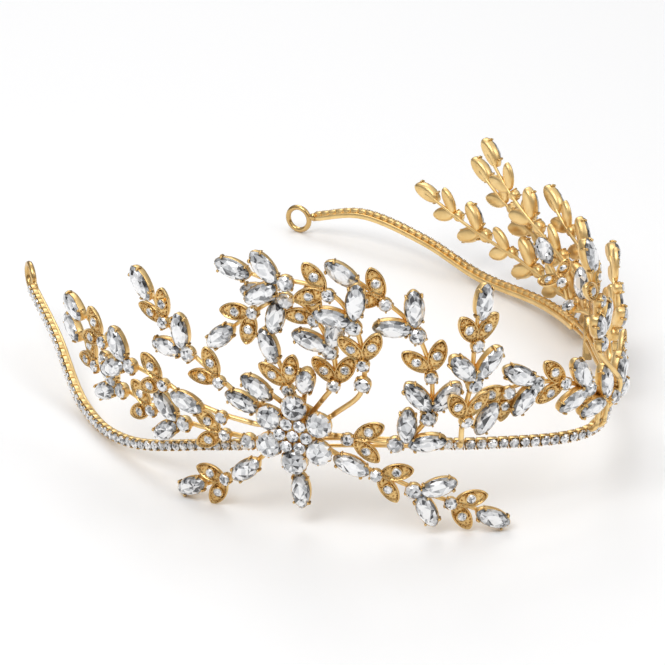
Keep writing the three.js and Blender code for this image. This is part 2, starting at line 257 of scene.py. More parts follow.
def circle(radius, sides, start=0.0):
    angles = [start + 2 * math.pi * index / sides for index in range(sides)]
    return [(radius * math.cos(a), radius * math.sin(a)) for a in angles]


def pointed_oval(long, wide, sides, sharp):
    """A leaf or boat outline; its ends are the more pointed the more sharp is over 1."""
    made = []
    for index in range(sides):
        a = 2 * math.pi * index / sides
        s = math.sin(a)
        made.append((long / 2 * math.cos(a), wide / 2 * math.copysign(abs(s) ** sharp, s)))
    return made


def turned(sides, profile):
    """A body turned about z, through (radius, height) from below."""
    return loft([level(circle(1, sides), radius, z) for radius, z in profile])


def ball(radius, rings=4, sides=6):
    levels = []
    for index in range(rings):
        a = math.pi * (index + 0.5) / rings - math.pi / 2
        levels.append(level(circle(radius * math.cos(a), sides), 1, radius * math.sin(a)))
    return loft(levels)


def tube(centres, frames, section):
    """A closed satin bar along centres; section(share) gives its [side, up] outline there."""
    levels = []
    for index, (centre, (side, up)) in enumerate(zip(centres, frames)):
        outline = section(index / (len(centres) - 1))
        levels.append([tuple(centre + side * a + up * b) for a, b in outline])
    return loft(levels, [SATIN] * (len(levels) - 1))


# ---- Crystals ---------------------------------------------------------------------------------

# Painted reflections: the tone of the crown's lower facets, its upper facets and the table.
ROUND_TONES = (0.95, 0.84, 0.74)
MARQUISE_TONES = (0.5, 0.82, 0.95)
# The girdle's dark tone is painted shade round the crystal's edge.
BASE_TONE, GIRDLE_SHADE = 0.5, 0.2
# Shares of the outline, and of the height over the girdle, where the rows of facets meet.
BASE_SHARE = 0.72
RING_SHARE, RING_HEIGHT = 0.86, 0.62
TABLE_SHARE = 0.56
PEAK_HEIGHT = 1.1


def cut_crystal(outline, high, deep, peaks, crown_tones):
    """A cut crystal: girdle at z = 0, two rows of crown facets, and a low-domed table.

    peaks are the points along the middle that the table's facets run to.
    """
    side_tone, star_tone, table_tone = crown_tones
    count = len(outline)
    halfway = [
        ((a[0] + b[0]) / 2, (a[1] + b[1]) / 2)
        for a, b in zip(outline, outline[1:] + outline[:1])
    ]
    points = level(outline, BASE_SHARE, -deep) + level(outline, 1, 0)
    points += level(halfway, RING_SHARE, high * RING_HEIGHT)
    points += level(outline, TABLE_SHARE, high)
    points += [(x, y, high * PEAK_HEIGHT) for x, y in peaks]
    faces = [tuple(reversed(range(count)))]
    tones = [BASE_TONE]
    girdle, crowns, tables, peak = count, 2 * count, 3 * count, 4 * count
    for k in range(count):
        n = (k + 1) % count
        b = (k - 1) % count
        faces.append((k, n, girdle + n, girdle + k))
        faces.append((girdle + k, girdle + n, crowns + k))
        faces.append((crowns + b, girdle + k, crowns + k))
        faces.append((crowns + b, crowns + k, tables + k))
        faces.append((crowns + k, tables + n, tables + k))
        tones += [GIRDLE_SHADE, side_tone, side_tone, star_tone, star_tone]
    nearest = [
        min(range(len(peaks)), key=lambda i: math.dist(peaks[i], p)) for p in outline
    ]
    for k in range(count):
        n = (k + 1) % count
        faces.append((tables + k, tables + n, peak + nearest[k]))
        tones.append(table_tone)
        if nearest[n] != nearest[k]:
            faces.append((tables + n, peak + nearest[n], peak + nearest[k]))
            tones.append(table_tone)
    return Shape().add(points, faces, smooth=False, tones=tones)


# A round crystal over this radius has more sides.
LARGE_CRYSTAL = 2.5


def round_crystal(radius):
    outline = circle(radius, 12 if radius > LARGE_CRYSTAL else 8)
    return cut_crystal(outline, radius * 0.42, radius * 0.35, [(0, 0)], ROUND_TONES)


def marquise_crystal(long, wide):
    outline = pointed_oval(long, wide, 14, 1.2)
    peaks = [(-long * 0.2, 0), (long * 0.2, 0)]
    return cut_crystal(outline, wide * 0.24, wide * 0.22, peaks, MARQUISE_TONES)


# ---- Gold settings ----------------------------------------------------------------------------

# Looks of a setting from below: satin back, polished rim, and the recess inside it, in a gold darker
# than the satin back as painted shade.
CUP_BANDS = [SATIN] * 4 + [POLISHED] * 2 + [SHADED_RECESS] * 2
# How far a cup's rim is under its crystal's girdle.
RIM_DROP = 0.05


def cup(outline, low, high, wall, round_off=1.0):
    """A deep bowl with a rounded satin back and a polished rim round the crystal."""
    span = high - low
    return loft([
        level(outline, 1, low, -1.25 * round_off),
        level(outline, 1, low + span * 0.06, -0.75 * round_off),
        level(outline, 1, low + span * 0.2, -0.34 * round_off),
        level(outline, 1, low + span * 0.42, -0.1 * round_off),
        level(outline, 1, high - wall * 0.8),
        level(outline, 1, high, -wall * 0.25),
        level(outline, 1, high, -wall * 0.75),
        level(outline, 1, high - wall, -wall),
        level(outline, 0.8, low + span * 0.6, -wall),
    ], CUP_BANDS)


MARQUISE_SEAT, ROUND_SEAT, LEAF_SEAT = 1.6, 1.5, 0.8
MARQUISE_LONG, MARQUISE_WIDE = 8.9, 4.6
MARQUISE_WALL, ROUND_WALL = 0.22, 0.2
MARQUISE_CLAW, ROUND_CLAW = 0.36, 0.27
# How far a claw's bead is over the crystal's girdle.
MARQUISE_CLAW_OVER, ROUND_CLAW_OVER = 0.3, 0.25
CLAW_LOW = 0.5
CUP_LOW = -0.6


def marquise_setting():
    """Gold boat-shaped cup with four claws."""
    outline = pointed_oval(MARQUISE_LONG, MARQUISE_WIDE, 20, 1.1)
    shape = cup(outline, CUP_LOW, MARQUISE_SEAT - RIM_DROP, MARQUISE_WALL)
    for end in (-1, 1):
        for side in (-1, 1):
            x = end * MARQUISE_LONG * 0.34
            y = side * MARQUISE_WIDE * 0.375
            claw(shape, x, y, CLAW_LOW, MARQUISE_SEAT + MARQUISE_CLAW_OVER, MARQUISE_CLAW)
    return shape


# Share of a claw's height, its thickness there as a share of the bead's, and its lean outwards.
CLAW_PROFILE = [(0, 0.75, 1.0), (0.6, 0.75, 1.06), (0.9, 0.8, 1.02), (1, 0.7, 0.95)]


def claw(shape, x, y, low, high, radius):
    """A round claw that leans in over the crystal and ends in a bead."""
    levels = []
    for share, size, lean in CLAW_PROFILE:
        ring = circle(radius * size, 6)
        z = low + (high - low) * share
        levels.append([(x * lean + a, y * lean + b, z) for a, b in ring])
    loft(levels, shape=shape)
    shape.put(ball(radius), move(x * 0.97, y * 0.97, high))


def round_setting(radius):
    """Gold round cup with four claws."""
    shape = cup(circle(radius, 16), CUP_LOW, ROUND_SEAT - RIM_DROP, ROUND_WALL, 0.85)
    for index in range(4):
        a = math.pi / 4 + index * math.pi / 2
        x, y = radius * math.cos(a), radius * math.sin(a)
        claw(shape, x, y, CLAW_LOW, ROUND_SEAT + ROUND_CLAW_OVER, ROUND_CLAW)
    return shape


LEAF_LONG, LEAF_WIDE = 7.8, 4.1
LEAF_BEAD, LEAF_BEAD_UP = 0.24, 0.62
LEAF_BEZEL, LEAF_CRYSTAL_RADIUS = 1.38, 1.17
BEZEL_BEAD_REACH, BEZEL_BEAD_UP = 1.24, 1.02


def leaf_setting():
    """A pointed leaf: raised smooth edge, a row of beads inside it, and a round bezel."""
    outline = pointed_oval(LEAF_LONG, LEAF_WIDE, 24, 1.25)
    # The leaf's inner floor takes the recess gold, which is painted shade.
    shape = loft([
        level(outline, 1, -0.6, -1.1),
        level(outline, 1, -0.5, -0.6),
        level(outline, 1, -0.15, -0.15),
        level(outline, 1, 0.35),
        level(outline, 1, 0.65),
        level(outline, 1, 0.8, -0.12),
        level(outline, 1, 0.8, -0.34),
        level(outline, 1, 0.5, -0.42),
        level(outline, 0.5, 0.5),
    ], CUP_BANDS)
    bead = ball(LEAF_BEAD, 3, 5)
    row = pointed_oval(LEAF_LONG * 0.76, LEAF_WIDE * 0.68, 20, 1.15)
    for x, y in row:
        shape.put(bead, move(x, y, LEAF_BEAD_UP))
    bezel = circle(LEAF_BEZEL, 14)
    loft([
        level(bezel, 1.05, 0.45), level(bezel, 1, 0.95), level(bezel, 0.9, 1.0),
        level(bezel, 0.8, 0.9), level(bezel, 0.7, 0.6),
    ], shape=shape)
    for k in range(4):
        a = math.pi / 4 + k * math.pi / 2
        x, y = BEZEL_BEAD_REACH * math.cos(a), BEZEL_BEAD_REACH * math.sin(a)
        shape.put(bead, move(x, y, BEZEL_BEAD_UP))
    for end in (-1, 1):
        shape.put(bead, move(end * LEAF_LONG * 0.27, 0, 0.6))
    return shape


CHAIN_CUP_HALF, CHAIN_CUP_FLAT = 1.19, 0.99
CHAIN_CLAW = 0.17
CHAIN_CLAW_LOW, CHAIN_CLAW_HIGH = 1.6, 2.15
CHAIN_STONE, CHAIN_SEAT = 1.23, 1.85


def chain_cup():
    """Square cup with a claw at each corner; x along the chain, z outwards."""
    square = []
    side = [(CHAIN_CUP_HALF, -CHAIN_CUP_FLAT), (CHAIN_CUP_HALF, CHAIN_CUP_FLAT)]
    for quarter in range(4):
        square += side
        side = [(-y, x) for x, y in side]
    # The cup's inside takes the recess gold, which is painted shade.
    shape = loft([
        level(square, 0.94, 0.35), level(square, 1, 0.5), level(square, 1, 1.5),
        level(square, 0.97, 1.65), level(square, 0.92, 1.65), level(square, 0.84, 1.4),
    ], [SATIN] * 2 + [POLISHED] * 2 + [SHADED_RECESS])
    for x in (-1, 1):
        for y in (-1, 1):
            corner = x * CHAIN_CUP_FLAT, y * CHAIN_CUP_FLAT
            claw(shape, *corner, CHAIN_CLAW_LOW, CHAIN_CLAW_HIGH, CHAIN_CLAW)
    link = [(1.4, -0.5), (1.4, 0.5), (-1.4, 0.5), (-1.4, -0.5)]
    loft([level(link, 1, 0.5), level(link, 1, 1.2)], shape=shape)
    return shape


MARQUISE_CUP = marquise_setting()
# How much shorter and narrower than its cup's outline a marquise crystal is.
MARQUISE_ROOM_LONG, MARQUISE_ROOM_WIDE = 0.15, 0.14
MARQUISE_CRYSTAL = marquise_crystal(
    MARQUISE_LONG - MARQUISE_ROOM_LONG, MARQUISE_WIDE - MARQUISE_ROOM_WIDE)
# Radius of a round crystal just before marquises or another round one, and anywhere else.
LARGE_ROUND, SMALL_ROUND = 1.9, 1.5
ROUND_CUP_OVER, ROUND_CRYSTAL_OVER = 0.08, 0.02
ROUNDS = {
    radius: (round_setting(radius + ROUND_CUP_OVER), round_crystal(radius + ROUND_CRYSTAL_OVER))
    for radius in (LARGE_ROUND, SMALL_ROUND)
}
LEAF = leaf_setting()
LEAF_CRYSTAL = round_crystal(LEAF_CRYSTAL_RADIUS)
CHAIN_CUP = chain_cup()
CHAIN_CRYSTAL = round_crystal(CHAIN_STONE)

# ---- Sprays -----------------------------------------------------------------------------------

# The settings on a stem: R is a round crystal, L a pair of leaves, M a pair of marquise
# crystals, and T one marquise crystal along the stem.

# Distance along the stem from one setting's mark to the next one's.
STEP = {
    "R-R": 5.4, "R-L": 4.3, "R-M": 5.5, "R-T": 7.9, "L-R": 5.5, "L-T": 6.5,
    "M-R": 4.1, "M-T": 6.8, "T-R": 6.9,
}
# How far a pair's two settings are turned from the stem, where their foot is behind the mark,
# and twice the distance from that foot to their middle.
PAIR = {"M": (0.72, 3.9, 8.9), "L": (0.62, 3.4, 7.6)}
# The sprays whose last crystal is a piece of its own.
TIP_STONES = {
    "temple_upper_left", "temple_lower_left", "crest_left", "scroll_left", "arch_left",
    "hook_left", "droop_inner_left", "droop_outer_left", "column_left",
    "temple_upper_right", "temple_lower_right", "crest_right",
}

# Each spray: path as (along, up), lift near the flower and at the tip, the settings from the
# flower outwards, the bare wire before them, and its turn about the stem in degrees.
SPRAYS = {
    "temple_upper_left": (
        [(-77.5, 7.2), (-84, 9.5), (-92, 13.5), (-99, 18.5), (-108, 22.5), (-119, 28.5),
         (-129, 34.5)],
        (5.4, 7.2), "RTRLRMRLT", 7, 0),
    "temple_lower_left": (
        [(-76, 2), (-84, 4), (-92, 6), (-99.5, 8.5), (-107, 11.5), (-114, 14.5), (-125, 19),
         (-136.5, 25.5)],
        (3.8, 4.3), "RRLRMRLRMRLT", 2.5, 0),
    "crest_left": (
        [(-74, 10.5), (-79.5, 12.5), (-85.5, 17.5), (-94, 25), (-100.5, 32.5), (-107, 42.5)],
        (3.8, 4.3), "TRLRMRLT", 6, 0),
    "bud_left": ([(-68, 13), (-69.5, 16.5), (-71, 20.5), (-73, 26)], (3.8, 4.3), "RLT", 2.5, 0),
    "pin_outer_left": ([(-71, 11.5), (-76, 16)], (3.8, 4.3), "T", 0, 0),
    "pin_inner_left": ([(-65.8, 12.8), (-64, 19)], (3.8, 7.2), "T", 0, 0),
    "scroll_left": (
        [(-62, 11.5), (-59, 16), (-59, 21.5), (-61.5, 29), (-65, 34.5), (-70.5, 37), (-77, 34),
         (-84.5, 29)],
        (3.8, 4.3), "RLRMRLRMRLT", 5.5, 0),
    "arch_left": (
        [(-59.5, 8), (-53.5, 13.5), (-52.5, 22), (-54.5, 32), (-58, 38), (-64.5, 41.5),
         (-73, 43), (-79.5, 46)],
        (3.8, 7.6), "RRLRMRLRMT", 11.8, 0),
    "hook_left": (
        [(-59, 3), (-52, 2), (-47, 1.5), (-42, 4), (-39, 9.5), (-39, 19.5), (-43, 30),
         (-49, 36), (-57, 42.5)],
        (3.8, 4.3), "RLRMRMRLRMRLT", 3, 0),
    "droop_inner_left": (
        [(-61, 0), (-55.5, -3.5), (-46.5, -7.5), (-38, -11.5), (-31, -14), (-25.5, -16.5)],
        (3.8, 4.3), "TRLRMRLT", 6.8, 0),
    "droop_outer_left": (
        [(-73.5, 0), (-79, -4.4), (-86, -7.8), (-93, -9.5)], (3.8, 4.3), "TRLT", 7, 0),
    "drop_left": ([(-66.5, -3), (-66, -9.5)], (3.8, 4.3), "T", 0, 0),
    "column_left": (
        [(-32.4, 2.6), (-32.4, 7), (-32, 12), (-31, 18), (-30.6, 27), (-29.8, 37.5)],
        (5.4, 7.4), "RLRMRLT", 6.5, 20),
    "branch_left": (
        [(0, 2.6), (0.5, 8.5), (-2.5, 12.2), (-8.8, 14.8), (-15, 15.5), (-21, 14.6),
         (-25, 11.5), (-27, 8)],
        (3.8, 3.2), "MRMRLRMRLT", 9.5, 0),
    "column_front": (
        [(3.5, 14), (0.8, 17.5), (-2, 21.5), (-3, 26.5), (-3.2, 33), (-5, 39.5), (-7, 45.5)],
        (6.4, 4.8), "RMRLT", 12, 30),
    "temple_lower_right": (
        [(76, 3), (88, 3.2), (99, 3.6), (109, 5.8), (119, 8.4), (128.5, 9.8), (140, 10.4),
         (151.5, 12)],
        (3.8, 4.3), "LRMRLRMRLRMRLT", 7, 0),
    "temple_middle_right": (
        [(81, 6), (90, 7.5), (99.5, 8), (106.5, 10), (113, 12.5), (119.5, 16.2), (128, 20.7),
         (136, 25)],
        (7.8, 8.8), "RLRMRLT", 23, 0),
    "temple_upper_right": (
        [(77, 7.5), (85, 8.5), (95, 11.5), (105, 15.5), (114, 20.5), (122, 26.5), (129.5, 34)],
        (5.4, 5), "RTRLRMRLT", 6, 0),
    "crest_right": (
        [(78, 14.5), (84, 14.5), (91, 15), (97.5, 17), (103.5, 20.5), (109, 26)],
        (5.6, 8.3), "RLRMRLT", 7, 0),
    "wing_right": (
        [(77.5, 5), (82.8, 4.4), (84.3, 10), (92.3, 12), (97.7, 15.8)],
        (1.2, -1), "RRLT", 5, -125),
    "pin_outer_right": ([(80, 5), (81.5, 7.5), (82.5, 11)], (3.4, 3.4), "T", 0, -125),
    "hook_right": (
        [(59, 3), (52, 3), (46, 5), (43.5, 12), (43.7, 20), (48.5, 25), (55, 26)],
        (3.8, 3.8), "RLRMRLT", 4, 0),
    "droop_outer_right": (
        [(75, -0.6), (81, -0.6), (88, -0.5), (96, 0.5)], (3.8, 7.2), "RLT", 5, 0),
    "branch_right": ([(3, 2.6), (4.5, 8), (9, 12), (15, 14.5)], (3.8, 3.8), "RMRL", 6, 0),
}

STEM_RADIUS, STEM_TAPER = 0.62, 0.17
# How far the stem's middle is below the foot of its settings.
STEM_SINK = 0.25
ROOT_RADIUS = 0.6
ROOT_STEPS = 8
# Where the bend of a root is pulled to, as a share of the root's span.
ROOT_PULL = 0.45
# A spray that starts this near to a flower's middle is carried by its plate, at this place on it.
NEAR_FLOWER = 16
PLATE_REACH, PLATE_UP = 4.6, 2.7
# Any other spray is carried by the rail.
RAIL_UP, RAIL_LIFT = 0.4, 0.2
# Random leans of the settings, in degrees.
ROUND_LEAN, ROUND_TURN = 7, 20
TIP_LEAN = 5
PAIR_LEAN, PAIR_ROLL, PAIR_ROLL_LEAN = 3, 7, 4
# How far a marquise or leaf is moved out along its own length.
REACH_OUT = 0.2
# How far above the table a setting is kept.
TABLE_GAP = 0.02


def smoothstep(x, low, high):
    t = min(max((x - low) / (high - low), 0), 1)
    return t * t * (3 - 2 * t)


class Spray:
    """The run of one stem over the crown, and the places of its settings."""

    def __init__(self, path, lift, pattern, bare, twist):
        near, far = lift
        last = len(path) - 1
        self.flat = Curve(
            [
                (along, up, near + (far - near) * smoothstep(index / last, 0, 0.5))
                for index, (along, up) in enumerate(path)
            ],
            True,
            200,
        )
        self.length = self.flat.length
        self.twist = math.radians(twist)
        self.pattern = pattern
        self.bare = bare

    def point(self, share):
        return crown(*self.flat.at(share))

    def frame(self, share):
        tip = (self.point(min(1, share + 0.02)) - self.point(max(0, share - 0.02))).normalized()
        face = Matrix.Rotation(self.twist, 3, tip) @ outward(self.flat.at(share)[0])
        return placement(self.point(share), tip, face)

    def marks(self):
        """Each setting's kind and its share of the stem, with the last one at the tip."""
        marks = [0]
        for a, b in zip(self.pattern, self.pattern[1:]):
            marks.append(marks[-1] + STEP[f"{a}-{b}"])
        covered = 1 - self.bare / self.length
        whole = marks[-1] or 1
        return [
            (kind, 1 - (marks[-1] - mark) / whole * covered)
            for kind, mark in zip(self.pattern, marks)
        ]

    def stem(self, shape):
        """Round wire along the path, a little thinner at the tip, with its middle below the cups."""
        centres, frames = [], []
        for share in spread(0, 1, 1.2 / self.length):
            matrix = self.frame(share)
            side = matrix.col[1].to_3d()
            up = matrix.col[2].to_3d()
            centres.append(matrix.translation - up * STEM_SINK)
            frames.append((side, up))
        outline = circle(1, 8, math.pi / 8)

        def section(share):
            radius = STEM_RADIUS - STEM_TAPER * share
            return [(radius * a, radius * b) for a, b in outline]

        shape.put(tube(centres, frames, section))

    def root(self, shape):
        """Bent wire that carries the near end of the stem: on a flower's plate, or on the rail."""
        start = self.frame(0)
        begin = start.translation
        along = self.flat.at(0)[0]
        side = math.copysign(1, along)
        if abs(abs(along) - FLOWER_AT) < NEAR_FLOWER:
            plate = flower_matrix(side)
            towards = plate.inverted() @ begin
            reach = PLATE_REACH / math.hypot(towards.x, towards.y)
            end = plate @ Vector((towards.x * reach, towards.y * reach, PLATE_UP))
        else:
            end = crown(along, RAIL_UP, RAIL_LIFT)
        tip, up = start.col[0].to_3d(), start.col[2].to_3d()
        bend = begin - tip * (begin - end).length * ROOT_PULL
        centres, frames = [], []
        for step in range(ROOT_STEPS + 1):
            t = step / ROOT_STEPS
            place = begin * (1 - t) ** 2 + bend * 2 * t * (1 - t) + end * t * t
            ahead = ((bend - begin) * (1 - t) + (end - bend) * t).normalized()
            across = ahead.cross(up).normalized()
            centres.append(place - up * STEM_SINK * (1 - t))
            frames.append((across, ahead.cross(across)))
        outline = circle(ROOT_RADIUS, 8, math.pi / 8)
        shape.put(tube(centres, frames, lambda share: outline))


def above_table(shape, matrix):
    """The placement, raised where the shape would go below the table."""
    lowest = min((matrix @ Vector(point)).z for point in shape.points) + STAND_SHIFT.z
    return move(0, 0, max(0, TABLE_GAP - lowest)) @ matrix


def build_spray(name, spray):
    """Gold and crystal shapes of one spray, and its tip crystal where that is a piece of its own."""
    gold, crystal, tip = Shape(), Shape(), Shape()
    chance = Chance(name)
    spray.stem(gold)
    spray.root(gold)

    def marquise(matrix, target):
        matrix = above_table(MARQUISE_CUP, matrix)
        gold.put(MARQUISE_CUP, matrix)
        target.put(MARQUISE_CRYSTAL, matrix @ move(0, 0, MARQUISE_SEAT), chance)

    for (kind, share), following in zip(spray.marks(), spray.pattern[1:] + "-"):
        at = spray.frame(share)
        if kind == "R":
            matrix = at @ turn(chance.lean(ROUND_LEAN), "X") @ turn(chance.lean(ROUND_LEAN), "Y")
            round_cup, round_stone = ROUNDS[LARGE_ROUND if following in "MR" else SMALL_ROUND]
            matrix = above_table(round_cup, matrix)
            gold.put(round_cup, matrix)
            seat = matrix @ turn(chance.lean(ROUND_TURN)) @ move(0, 0, ROUND_SEAT)
            crystal.put(round_stone, seat, chance)
        elif kind == "T":
            last = share > 0.99 and name in TIP_STONES
            matrix = at @ turn(chance.lean(TIP_LEAN), "X") @ move(REACH_OUT, 0)
            marquise(matrix, tip if last else crystal)
        else:
            angle, foot, long = PAIR[kind]
            for side in (-1, 1):
                matrix = at @ move(-foot, 0) @ turn(side * angle + chance.lean(PAIR_LEAN))
                matrix = matrix @ move(long / 2 + REACH_OUT, 0)
                roll = -side * math.radians(PAIR_ROLL) + chance.lean(PAIR_ROLL_LEAN)
                matrix = matrix @ turn(roll, "X")
                if kind == "M":
                    marquise(matrix, crystal)
                else:
                    matrix = above_table(LEAF, matrix)
                    gold.put(LEAF, matrix)
                    crystal.put(LEAF_CRYSTAL, matrix @ move(0, 0, LEAF_SEAT), chance)
    return gold, crystal, tip


# ---- Band parts -------------------------------------------------------------------------------


def along_band(low, high, step, outline):
    """A closed bar that follows the band. outline(along) gives [lift, up] corners."""
    levels = []
    for along in spread(low, high, step):
        levels.append([tuple(crown(along, up, lift)) for lift, up in reversed(outline(along))])
    return loft(levels, [SATIN] * (len(levels) - 1))


RAIL_OUTLINE = [
    (-0.5, -1.0), (-0.35, -1.18), (0.25, -1.18), (0.4, -1.0), (0.4, 0.1), (0.25, 0.27),
    (-0.3, 0.27), (-0.5, 0.1),
]


def rail(low, high):
    return along_band(low, high, 2.5, lambda along: RAIL_OUTLINE)


# Random leans of the chain's crystals, in degrees.
CHAIN_LEAN, CHAIN_TURN = 3, 22


def chain(low, high, seed):
    """Gold cups and crystals of one stretch of the chain, in a whole number of links."""
    gold, crystal = Shape(), Shape()
    chance = Chance(seed)
    links = round((high - low) / CHAIN_PITCH)
    pitch = (high - low) / links
    for index in range(links):
        along = low + pitch * (index + 0.5)
        tip = (on_band(along + 1.5) - on_band(along - 1.5)).normalized()
        matrix = placement(on_band(along), tip, outward(along))
        gold.put(CHAIN_CUP, matrix)
        tilted = matrix @ turn(chance.lean(CHAIN_LEAN), "X") @ turn(chance.lean(CHAIN_LEAN), "Y")
        seat = tilted @ turn(chance.lean(CHAIN_TURN)) @ move(0, 0, CHAIN_SEAT)
        crystal.put(CHAIN_CRYSTAL, seat, chance)
    return gold, crystal


# How far the wires across a gap run in under the end cups of the chain.
SOLDERED = 1.6
BRIDGE_WIRE, BRIDGE_LIFT, BRIDGE_UP = 0.45, 0.9, 0.9


def bridge(side):
    """The two thin wires that carry a flower across the gap in the chain."""
    low, high = sorted((side * (BRIDGE_START - SOLDERED), side * (BRIDGE_END + SOLDERED)))
    shape = Shape()
    for up in (-BRIDGE_UP, BRIDGE_UP):
        ring = [
            (BRIDGE_LIFT + BRIDGE_WIRE * math.cos(a), up + BRIDGE_WIRE * math.sin(a))
            for a in (k * math.pi / 4 for k in range(8))
        ]
        shape.put(along_band(low, high, 1.5, lambda along: ring))
    return shape


EYELET_RADIUS, EYELET_WIRE = 3.45, 0.77
EYELET_SIDES, EYELET_SECTION = 32, 8
# Where the frame's neck ends, from the ring's middle, and its gap to the rail, closed here.
NECK_END = 4.8
GAP = 0.35
# The neck from the ring to the rail: distance from the ring's middle, half width, half thickness.
NECK_PROFILE = [(3.6, 0.7, 0.5), (4.1, 0.9, 0.62), (4.6, 1.1, 0.62), (5.7, 1.2, 0.55)]


def eyelet(end, direction):
    """A round wire ring whose neck runs into the end of the rail."""
    to_band = (on_band(end - direction * 4) - on_band(end)).normalized()
    centre = on_band(end) - to_band * (NECK_END + GAP)
    matrix = placement(centre, to_band, outward(end - direction * 6))
    sides, section = EYELET_SIDES, EYELET_SECTION
    points, faces = [], []
    for k in range(sides):
        a = 2 * math.pi * k / sides
        for m in range(section):
            b = 2 * math.pi * m / section
            reach = EYELET_RADIUS + EYELET_WIRE * math.cos(b)
            points.append((reach * math.cos(a), reach * math.sin(a), EYELET_WIRE * math.sin(b)))
            n, o = (k + 1) % sides, (m + 1) % section
            faces.append((k * section + m, n * section + m, n * section + o, k * section + o))
    shape = Shape().add(points, faces)
    levels = []
    for x, half, thick in NECK_PROFILE:
        levels.append([
            (x, half * math.cos(k * math.pi / 5), thick * math.sin(k * math.pi / 5))
            for k in range(10)
        ])
    loft(levels, shape=shape)
    return Shape().put(shape, matrix)


# ---- Flowers ----------------------------------------------------------------------------------

CUP_SEAT = 7.45
CLUSTER_SEAT = 8.1


def flower_matrix(side):
    along = side * FLOWER_AT
    ahead = on_band(along + 3) - on_band(along - 3)
    ahead.z = 0
    return placement(crown(along, FLOWER_UP, 0), ahead.normalized(), outward(along))


def ring_spot(index, radius):
    """One of six even places round a flower's middle."""
    angle = (index + 0.5) * math.pi / 3
    return radius * math.cos(angle), radius * math.sin(angle)


BIG_CUP, SMALL_CUP = 3.02, 1.36
BIG_CUP_LOW, SMALL_CUP_LOW = 5.6, 6.9
BIG_WALL, SMALL_WALL = 0.16, 0.14
BIG_CLAW, BIG_CLAW_REACH = 0.22, 2.95
BIG_CLAW_LOW, BIG_CLAW_OVER = 6.4, 0.36
POST_RING = 5.2
BIG_CRYSTAL = round_crystal(3.08)
SMALL_CRYSTAL = round_crystal(1.5)
SMALL_RING = 3.1
# Random leans of a flower's crystals, in degrees.
FLOWER_LEAN, FLOWER_TURN = 4, 30


def flower(side):
    """Gold of one flower: six claw cups on posts, the middle cups, the plate and the wires."""
    shape = Shape()
    plate = turned(24, [(5.2, 2.1), (5.9, 2.35), (6.0, 2.8), (5.7, 3.2)])
    hub = turned(12, [(3.9, 3.0), (3.1, 4.4), (3.3, 6.2), (4.0, 7.1), (3.8, 7.35)])
    shape.put(plate)
    shape.put(hub)
    big = cup(circle(BIG_CUP, 20), BIG_CUP_LOW, CUP_SEAT - RIM_DROP, BIG_WALL)
    for k in range(6):
        a = k * math.pi / 3 + math.pi / 6
        x, y = BIG_CLAW_REACH * math.cos(a), BIG_CLAW_REACH * math.sin(a)
        claw(big, x, y, BIG_CLAW_LOW, CUP_SEAT + BIG_CLAW_OVER, BIG_CLAW)
    post = turned(8, [(0.9, 2.9), (0.7, 4.2), (0.9, 6.2)])
    for index in range(6):
        shape.put(big, move(*ring_spot(index, FLOWER_RING)))
        shape.put(post, move(*ring_spot(index, POST_RING)))
    small = cup(circle(SMALL_CUP, 12), SMALL_CUP_LOW, CLUSTER_SEAT - RIM_DROP, SMALL_WALL, 0.5)
    shape.put(small)
    for index in range(6):
        shape.put(small, move(*ring_spot(index - 0.5, SMALL_RING)))
    stay = [(1, 0.2), (1, 2.2), (0.7, 2.5), (-0.7, 2.5), (-1, 2.2), (-1, 0.2)]
    bars = loft([
        [(x, y, z) for x, z in reversed(stay)] for y in (-FLOWER_UP * 2 - 0.8, -FLOWER_UP, 0.8)
    ])
    shape.put(bars)
    whole = Shape().put(shape, flower_matrix(side))
    return whole.put(bridge(side))


# ---- Materials --------------------------------------------------------------------------------


# Scales of the noise that varies the gold's colour and its polish.
COLOUR_NOISE, POLISH_NOISE = 260, 900
BUMP_DISTANCE = 0.0001


def new_material(name):
    material = bpy.data.materials.new(name)
    material.use_nodes = True
    tree = material.node_tree
    shader = tree.nodes["Principled BSDF"]
    return material, tree, shader


def node(tree, kind, settings=None, **inputs):
    """A shader node with its settings, and its inputs by name."""
    made = tree.nodes.new(kind)
    for name, value in (settings or {}).items():
        setattr(made, name, value)
    for name, value in inputs.items():
        made.inputs[name.replace("_", " ")].default_value = value
    return made


def ramp(tree, stops):
    """A colour ramp through (place, colour)."""
    made = tree.nodes.new("ShaderNodeValToRGB")
    elements = made.color_ramp.elements
    while len(elements) < len(stops):
        elements.new(0.5)
    for element, (place, colour) in zip(elements, stops):
        element.position = place
        element.color = (*colour, 1)
    return made


def noise(tree, scale, detail=3.0, roughness=0.5):
    place = tree.nodes.new("ShaderNodeTexCoord")
    made = node(tree, "ShaderNodeTexNoise", Scale=scale, Detail=detail, Roughness=roughness)
    tree.links.new(place.outputs["Object"], made.inputs["Vector"])
    return made


def gold_material(name, dark, light, rough, bump, grain):
    """Gold plating: slow changes of colour, uneven polish, and a fine cast grain."""
    material, tree, shader = new_material(name)
    link = tree.links.new
    shader.inputs["Metallic"].default_value = 1.0
    tint = ramp(tree, [(0.3, dark), (0.7, light)])
    link(noise(tree, COLOUR_NOISE).outputs["Fac"], tint.inputs["Fac"])
    link(tint.outputs["Color"], shader.inputs["Base Color"])
    polish = ramp(tree, [(0.3, (rough[0],) * 3), (0.75, (rough[1],) * 3)])
    link(noise(tree, POLISH_NOISE, 4.0, 0.6).outputs["Fac"], polish.inputs["Fac"])
    link(polish.outputs["Color"], shader.inputs["Roughness"])
    relief = node(tree, "ShaderNodeBump", Strength=bump, Distance=BUMP_DISTANCE)
    link(noise(tree, grain, 2.0).outputs["Fac"], relief.inputs["Height"])
    link(relief.outputs["Normal"], shader.inputs["Normal"])
    return material


